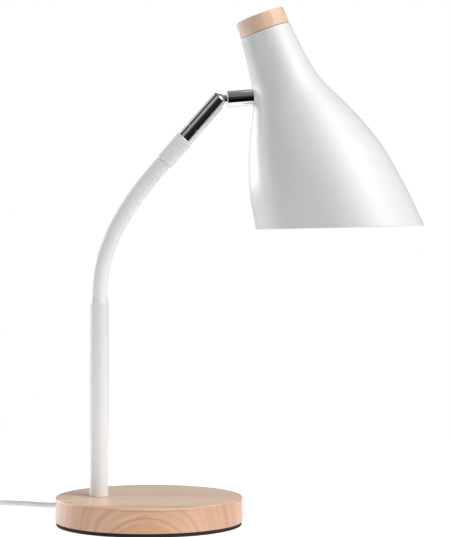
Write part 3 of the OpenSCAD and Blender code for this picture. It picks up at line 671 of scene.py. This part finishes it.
def build_shade():
    segs = 224
    tan = math.tan(RIM_SLANT)
    verts, faces = [], []
    ang_list = [2 * pi * k / segs for k in range(segs)]
    ends = []
    for a in ang_list:
        q = RIM_AT
        for _ in range(30):
            q = RIM_AT + float(R_OF_S(q)) * math.cos(a) * tan
        ends.append(q)
    # outside: closed top, small shoulder, then the wall down to the rim
    rows = []
    top_r = float(R_OF_S(0.0))
    rows.append([(0.0, 0.0)] * segs)
    for r in (6.0, 12.0, 17.0, top_r - 1.1):
        rows.append([(r, 0.0)] * segs)
    for t in (18, 36, 54, 72, 90):
        rows.append([(top_r - 1.1 + 1.1 * math.sin(math.radians(t)), -1.1 + 1.1 * math.cos(math.radians(t)))] * segs)
    n = 96
    for j in range(1, n + 1):
        u = j / n
        rows.append([(float(R_OF_S(1.1 + (e - 0.75 - 1.1) * u)), -(1.1 + (e - 0.75 - 1.1) * u)) for e in ends])
    # rim: a full round that stands a touch proud of the wall, like a rolled edge
    for t in (20, 50, 80, 110, 140, 170):
        row = []
        for e in ends:
            r = float(R_OF_S(e - 0.75))
            c = math.radians(t)
            row.append((r - 0.60 + 0.66 * math.cos(c) - 0.0, -(e - 0.75) - 0.75 * math.sin(c)))
        rows.append(row)
    # inside, back up to the closed top
    for j in range(n - 1, -1, -1):
        u = j / n
        rows.append([(float(R_OF_S(2.0 + (e - 0.75 - 2.0) * u)) - WALL, -(2.0 + (e - 0.75 - 2.0) * u)) for e in ends])
    for r in (19.4, 14.0, 8.0):
        rows.append([(r, -WALL - 0.9 * (r > 19))] * segs)
    rows.append([(0.0, -WALL)] * segs)
    index = []
    for j, row in enumerate(rows):
        if j in (0, len(rows) - 1):
            index.append([len(verts)] * segs)
            verts.append((0, 0, row[0][1]))
        else:
            index.append(list(range(len(verts), len(verts) + segs)))
            verts += [(row[k][0] * math.cos(ang_list[k]), row[k][0] * math.sin(ang_list[k]), row[k][1]) for k in range(segs)]
    for a, b in zip(index[:-1], index[1:]):
        for k in range(segs):
            k2 = (k + 1) % segs
            f = [a[k], a[k2], b[k2], b[k]]
            f = [v for i, v in enumerate(f) if v not in f[:i]]
            faces.append(tuple(reversed(f)))
    return verts, faces


sv, sf = build_shade()
shade = make("shade_spun", sv, sf, PAINT, True, AT_SHADE, "head")
sharp(shade, 50)
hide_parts("shade")

# ------------------------------------------------------------------ strain relief with flex grooves
EXIT_A = math.radians(130)
AT_EXIT = Matrix.Translation((0, 0, 9 * MM)) @ Matrix.Rotation(EXIT_A, 4, "Z") @ Matrix.Rotation(pi / 2, 4, "Y") @ Matrix.Scale(MM, 4)
prof = [(2.5, 77.0), (3.1, 77.0), (3.1, 79.62), (4.5, 79.62), (4.95, 80.1), (4.95, 81.2), (4.5, 81.65)]
zz = 82.2
for k in range(8):
    r_rib = 4.30 - 0.115 * k
    prof += [(3.15 - 0.02 * k, zz), (3.15 - 0.02 * k, zz + 0.75), (r_rib - 0.15, zz + 0.85), (r_rib, zz + 1.1), (r_rib, zz + 1.85), (r_rib - 0.15, zz + 2.1)]
    zz += 2.25
prof += [(3.05, zz + 0.2), (3.05, 101.2), (2.8, 101.45), (2.5, 101.45)]
relief = revolve("strain_relief_ribbed", prof, CORD, AT_EXIT, "base", 48, True, flip=False)
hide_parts("strain_relief")

# ------------------------------------------------------------------ in-line switch
SW = (-161.0, 49.0)


def stadium(theta, half_w, half_l):
    """Distance to a stadium's edge along a ray; its long axis is Y."""
    c, q = abs(math.cos(theta)), abs(math.sin(theta))
    straight = half_l - half_w
    if c > 1e-9 and half_w / c * q <= straight:
        return half_w / c
    b = straight * q
    return b + math.sqrt(max(0.0, b * b - straight * straight + half_w * half_w))


def rounded_rect(theta, hx, hy, rad):
    c, q = abs(math.cos(theta)), abs(math.sin(theta))
    t = min(hx / c if c > 1e-9 else 1e9, hy / q if q > 1e-9 else 1e9)
    x, y = t * c, t * q
    cx, cy = hx - rad, hy - rad
    if x > cx and y > cy:
        b = cx * c + cy * q
        t = b + math.sqrt(max(0.0, b * b - cx * cx - cy * cy + rad * rad))
    return t


def ring_loft(name, rings, mat, matrix, cap_first=True, cap_last=True, deg=32):
    """Joins rings of equal length, each a list of points."""
    verts, faces = [], []
    n = len(rings[0])
    for r in rings:
        verts += r
    for j in range(len(rings) - 1):
        for k in range(n):
            k2 = (k + 1) % n
            faces.append((j * n + k, j * n + k2, (j + 1) * n + k2, (j + 1) * n + k))
    if cap_first:
        faces.append(tuple(reversed(range(n))))
    if cap_last:
        faces.append(tuple(range((len(rings) - 1) * n, len(rings) * n)))
    o = make(name, verts, faces, mat, True, matrix)
    return sharp(o, deg)


AT_SWITCH = Matrix.Translation((SW[0] * MM, SW[1] * MM, 0)) @ Matrix.Scale(MM, 4)
NS = 144
TH = [2 * pi * (k + 0.5) / NS for k in range(NS)]


def srow(inset, z):
    return [(stadium(t, 12.5 - inset, 30.0 - inset) * math.cos(t), stadium(t, 12.5 - inset, 30.0 - inset) * math.sin(t), z) for t in TH]


def rrow(grow, z, rad=1.6):
    return [(rounded_rect(t, 6.2 + grow, 10.6 + grow, rad) * math.cos(t), rounded_rect(t, 6.2 + grow, 10.6 + grow, rad) * math.sin(t), z) for t in TH]


def nozzle(sign):
    m = Matrix.Translation((SW[0] * MM, SW[1] * MM, 8 * MM)) @ Matrix.Rotation(-pi / 2 * sign, 4, "X") @ Matrix.Scale(MM, 4)
    p = [(2.55, 27.0), (4.25, 27.0), (4.25, 29.9), (3.7, 30.2), (3.7, 30.9), (4.05, 31.1), (4.05, 32.1), (3.5, 32.3), (3.5, 33.0), (3.85, 33.2),
         (3.85, 34.2), (3.35, 34.4), (3.35, 35.0), (3.6, 35.2), (3.45, 35.85), (2.95, 36.0), (2.55, 36.0)]
    return revolve("nozzle_part", p, SWITCHM, m, None, 40, True)


low = ring_loft("low_shell", [srow(3.4, 0.0), srow(1.9, 0.15), srow(0.8, 0.75), srow(0.2, 1.75), srow(0.0, 3.0), srow(0.0, 7.35), srow(0.35, 7.78),
                              srow(1.8, 7.80)], SWITCHM, AT_SWITCH, True, True)
low = join("switch_lower_shell", [low, nozzle(1), nozzle(-1)])
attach(low, "base")
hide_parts("switch_lower")
up = ring_loft("up_shell", [srow(1.8, 8.18), srow(0.35, 8.20), srow(0.0, 8.6), srow(0.0, 12.2), srow(0.25, 13.5), srow(0.95, 14.9), srow(2.0, 15.9),
                            srow(3.3, 16.5), srow(4.3, 16.78), rrow(1.5, 16.98, 2.4), rrow(0.8, 17.0, 2.0), rrow(0.25, 16.7, 1.7), rrow(0.0, 16.2, 1.6),
                            rrow(0.0, 8.6, 1.6)], SWITCHM, AT_SWITCH, True, False)
up.name = up.data.name = "switch_upper_shell"
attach(up, "base")
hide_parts("switch_upper")
floor_in = box_mesh("switch_well", (-6.6, -11, 8.3), (6.6, 11, 9.0), ROCKERM, 0, AT_SWITCH)
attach(floor_in, "base")

# rocker: curved profile, ridged at one end and dimpled at the other
AT_ROCKER = Matrix.Translation((SW[0] * MM, SW[1] * MM, 13.8 * MM)) @ Matrix.Rotation(math.radians(-8), 4, "X") @ Matrix.Scale(MM, 4)
top_line = []
for k in range(49):
    y = -9.45 + 18.9 * k / 48
    z = 3.3 + 1.35 * (abs(y) / 9.3) ** 1.8
    if y > 3.5:
        z += 0.26 * max(0.0, math.sin((y - 3.5) / 1.3 * 2 * pi - pi / 2)) * (1 if y < 8.7 else 0)
    if abs(y) > 9.0:
        z -= 0.28 * ((abs(y) - 9.0) / 0.45) ** 2
    top_line.append((y, z))
bottom_line = [(9.35, -1.5), (3.5, -3.6), (-3.5, -3.6), (-9.35, -1.5)]
outline = top_line + bottom_line
rows = []
for x, inset in ((-5.8, 0.28), (-5.7, 0.10), (-5.45, 0.0), (5.45, 0.0), (5.7, 0.10), (5.8, 0.28)):
    rows.append([(x, y * (1 - inset / 9.4), z - (inset if z > 0 else 0)) for y, z in outline])
rv, rf = [], []
m = len(outline)
for r in rows:
    rv += r
for j in range(len(rows) - 1):
    for k in range(m):
        k2 = (k + 1) % m
        rf.append((j * m + k, j * m + k2, (j + 1) * m + k2, (j + 1) * m + k))
rf.append(tuple(reversed(range(m))))
rf.append(tuple(range((len(rows) - 1) * m, len(rows) * m)))
rocker = make("rocker_ridged", rv, rf, ROCKERM, True, AT_ROCKER)
sharp(rocker, 40)
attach(rocker, "rocker")
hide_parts("switch_rocker")

# ------------------------------------------------------------------ plug
PL = (-202.0, 30.0)


def plug_row(y, w, h, e=3.4, zc=6.8):
    out = []
    for k in range(72):
        t = 2 * pi * k / 72
        c, q = math.cos(t), math.sin(t)
        out.append((w * math.copysign(abs(c) ** (2 / e), c), y, zc + h * math.copysign(abs(q) ** (2 / e), q)))
    return out


stations = [(0.0, 3.3, 3.3, 2.2), (0.15, 4.3, 4.2, 2.2), (0.7, 4.9, 4.7, 2.3)]
for k in range(5):
    y0 = 1.6 + k * 2.9
    w = 5.3 + 0.55 * k
    h = 4.9 + 0.20 * k
    stations += [(y0, w, h, 2.6), (y0 + 0.35, w - 0.7, h - 0.6, 2.6), (y0 + 1.15, w - 0.65, h - 0.55, 2.6), (y0 + 1.5, w + 0.15, h, 2.6)]
stations += [(17.0, 9.3, 6.0, 3.0), (20.0, 12.2, 6.3, 3.4), (23.0, 14.9, 6.6, 3.8), (25.5, 16.5, 6.75, 4.2), (28.0, 17.3, 6.8, 4.6), (31.0, 17.5, 6.8, 4.8),
             (36.2, 17.5, 6.8, 4.8), (37.2, 17.2, 6.5, 4.8), (37.8, 16.6, 5.9, 4.8), (38.0, 15.7, 5.0, 4.6)]
AT_PLUG = Matrix.Translation((PL[0] * MM, PL[1] * MM, 0)) @ Matrix.Scale(MM, 4)
plug = ring_loft("plug_moulded", [plug_row(*q) for q in stations], PLUGM, AT_PLUG, True, True, 38)
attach(plug, "base")
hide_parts("plug_body")
pin_parts = []
for sx in (-9.3, 9.3):
    mm_ = Matrix.Translation(((PL[0] + sx) * MM, PL[1] * MM, 6.8 * MM)) @ Matrix.Rotation(-pi / 2, 4, "X") @ Matrix.Scale(MM, 4)
    pin_parts.append(revolve("pin_metal", [(0, 37.0), (1.75, 37.0), (1.75, 47.6), (2.0, 47.8), (2.0, 55.6), (1.85, 56.2), (1.45, 56.7), (0.8, 56.95), (0, 57.0)],
                             NICKEL, mm_, None, 32))
    pin_parts.append(revolve("pin_sleeve", [(1.74, 37.5), (1.97, 37.5), (1.97, 47.5), (1.85, 47.75), (1.74, 47.75)], PLUGM, mm_, None, 32, True))
pins = join("plug_pins_sleeved", pin_parts)
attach(pins, "base")
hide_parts("plug_pins")

# ------------------------------------------------------------------ tie round the coil: a soft strap
def strap_row(th, grow):
    r0, r1, z0, z1 = 19.3 - grow, 35.7 + grow, 0.0 if grow <= 0 else -0.0, 16.3 + grow
    pts = []
    cx, cz = (r0 + r1) / 2, (z0 + z1) / 2
    hx, hz = (r1 - r0) / 2, (z1 - z0) / 2
    for k in range(64):
        a = 2 * pi * (k + 0.5) / 64
        t = rounded_rect(a, hx, hz, max(0.4, 3.0 + grow))
        r, z = cx + t * math.cos(a), cz + t * math.sin(a)
        pts.append((COIL_C[0] + r * math.cos(th), COIL_C[1] + r * math.sin(th), z))
    return pts


tv, tf = [], []
loops = []
for deg_, g in ((270.0, -0.12), (270.35, 0.0), (284.65, 0.0), (285.0, -0.12)):
    loops.append(strap_row(math.radians(deg_), g))
for deg_, g in ((285.0, -0.46), (284.65, -0.58), (270.35, -0.58), (270.0, -0.46)):
    loops.append(strap_row(math.radians(deg_), g))
for r in loops:
    tv += r
for j in range(8):
    a, b = j * 64, ((j + 1) % 8) * 64
    for k in range(64):
        k2 = (k + 1) % 64
        tf.append((a + k, b + k, b + k2, a + k2))
tie = make("coil_tie_strap", tv, tf, TIE, True, FLAT)
sharp(tie, 40)
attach(tie, "base")
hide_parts("coil_tie")

# ------------------------------------------------------------------ gooseneck sleeve: one smooth tube in seven pieces
sleeve_bodies = ["base", "neck_1", "neck_2", "neck_3", "neck_4", "neck_5", "neck_6", "arm"]


def sleeve_section(i):
    """Rings from the middle of length i-1 to the middle of length i, across joint i."""
    rows = []
    n = 12
    if i == 0:
        rows += [(POST_X, z, 0.0) for z in np.linspace(POST_TOP - 1.2, POST_TOP + 0.9, 3)]
    else:
        rows += [neck_point(i - 1, 0.5 + 0.5 * k / n) for k in range(n)]
    if i == 6:
        a = ARM_A
        rows += [(J[6][0] + t * math.sin(a), J[6][1] + t * math.cos(a), a) for t in np.linspace(0, 9.0, 9)]
    else:
        rows += [neck_point(i, 0.5 * k / n) for k in range(n + 1)]
    return rows


def sleeve_tube(name, rows, segs=64):
    verts, faces = [], []
    for x, z, a in rows:
        for k in range(segs):
            t = 2 * pi * k / segs
            u, w = NECK_R * math.cos(t), NECK_R * math.sin(t)
            verts.append(((x + u * math.cos(a)) * MM, w * MM, (z - u * math.sin(a)) * MM))
    for q in range(len(rows) - 1):
        for k in range(segs):
            k2 = (k + 1) % segs
            faces.append((q * segs + k, q * segs + k2, (q + 1) * segs + k2, (q + 1) * segs + k))
    o = make(name, verts, faces, SLEEVE)
    return o


SPLIT = 4      # this piece is two stiff halves that meet on a ball
for i in range(7):
    rows = sleeve_section(i)
    node = f"sleeve_{i + 1}" if i < 6 else "sleeve_top"
    if i == SPLIT:
        at = 12
        low_half = sleeve_tube(f"gooseneck_sleeve_{i}_low", rows[:at + 1])
        high_half = sleeve_tube(f"gooseneck_sleeve_{i}_high", rows[at:])
        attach(low_half, sleeve_bodies[i])
        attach(high_half, sleeve_bodies[i + 1])
        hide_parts(node)
        r = NECK_R * 0.9985
        arc = [(r * math.cos(t), r * math.sin(t)) for t in np.linspace(-0.2, 0.2, 7)]
        knuckle = revolve("gooseneck_knuckle", arc, SLEEVE, place(J[i][0], J[i][1], math.radians(ang(i))), sleeve_bodies[i], 64)
        continue
    o = sleeve_tube(f"gooseneck_sleeve_{i}", rows)
    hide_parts(node)
    a = math.radians(ang(i))
    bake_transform(o)

# ------------------------------------------------------------------ light, floor
# Large soft lamps round the object: azimuth (0 from the camera, 90 from the right, 180 from behind, 270 from the left),
# elevation, tightness and power. What the camera sees behind the object is plain white paper.
SOFT_LIGHTS = [
    (60, 38, 14, 5.8), (30, 38, 16, 0.66), (90, 38, 14, 0.40), (77, 62, 20, 1.7), (34, 14, 20, 0.32), (67, -8, 25, 0.85),
    (315, -8, 20, 2.6), (318, 37, 90, 0.48), (331, 29, 90, 0.44), (301, 43, 70, 0.34), (283, 62, 30, 0.10), (0, 88, 14, 0.12),
    (230, 38, 70, 1.30), (180, 64, 45, 0.55), (180, 40, 45, 0.15), (180, 4, 14, 0.18), (180, 7, 60, 0.45)]
# the two low lamps at the left rear end at the table's far edge
LOW_LIGHTS = [(249, 1, 21, 4.7), (226, 1, 21, 5.2)]
world = bpy.data.worlds.new("studio")
scene.world = world
world.use_nodes = True
wt = world.node_tree
wt.nodes.clear()


def wmath(op, a, b=None):
    x = wt.nodes.new("ShaderNodeMath")
    x.operation = op
    for i, v in enumerate((a, b)):
        if isinstance(v, (int, float)):
            x.inputs[i].default_value = v
        elif v is not None:
            wt.links.new(v, x.inputs[i])
    return x.outputs[0]


w_dir = wt.nodes.new("ShaderNodeVectorMath")
w_dir.operation = "NORMALIZE"
wt.links.new(wt.nodes.new("ShaderNodeTexCoord").outputs["Generated"], w_dir.inputs[0])


def glow_sum(lights):
    total = None
    for az, el, tight, power in lights:
        az, el = math.radians(az), math.radians(el)
        dot = wt.nodes.new("ShaderNodeVectorMath")
        dot.operation = "DOT_PRODUCT"
        wt.links.new(w_dir.outputs[0], dot.inputs[0])
        dot.inputs[1].default_value = (math.sin(az) * math.cos(el), -math.cos(az) * math.cos(el), math.sin(el))
        glow = wmath("MULTIPLY", wmath("EXPONENT", wmath("MULTIPLY", wmath("SUBTRACT", dot.outputs["Value"], 1.0), float(tight))), float(power))
        total = glow if total is None else wmath("ADD", total, glow)
    return total


w_up = wt.nodes.new("ShaderNodeSeparateXYZ")
wt.links.new(w_dir.outputs[0], w_up.inputs[0])
above = wmath("GREATER_THAN", w_up.outputs[2], -0.03)
total = wmath("ADD", glow_sum(SOFT_LIGHTS), wmath("MULTIPLY", glow_sum(LOW_LIGHTS), above))
lamps = wt.nodes.new("ShaderNodeBackground")
lamps.inputs["Color"].default_value = (1, 1, 1, 1)
wt.links.new(total, lamps.inputs["Strength"])
paper = wt.nodes.new("ShaderNodeBackground")
paper.inputs["Color"].default_value = (1, 1, 1, 1)
paper.inputs["Strength"].default_value = 1.0
ray = wt.nodes.new("ShaderNodeLightPath")
pick = wt.nodes.new("ShaderNodeMixShader")
wt.links.new(ray.outputs["Is Camera Ray"], pick.inputs[0])
wt.links.new(lamps.outputs[0], pick.inputs[1])
wt.links.new(paper.outputs[0], pick.inputs[2])
wo = wt.nodes.new("ShaderNodeOutputWorld")
wt.links.new(pick.outputs[0], wo.inputs[0])

# a white table that ends a little in front of the lamp and some way behind it; it glows faintly, like a lit sweep
fl = make("floor", [(-1.2, -0.22, -0.0002), (1.2, -0.22, -0.0002), (1.2, 0.7, -0.0002), (-1.2, 0.7, -0.0002)], [(0, 1, 2, 3)], None, False)
fm = Mat("floor_white")
fm.set(color=(0.6, 0.6, 0.6), rough=0.9, spec=0.0, emit=0.80)
fm.b.inputs["Emission Color"].default_value = (1, 1, 1, 1)
fm.m.cycles.emission_sampling = "NONE"
fl.data.materials.append(fm.m)

scene.view_settings.view_transform = "Standard"
scene.view_settings.look = "None"
scene.view_settings.exposure = 0.0
scene.view_settings.gamma = 1.0
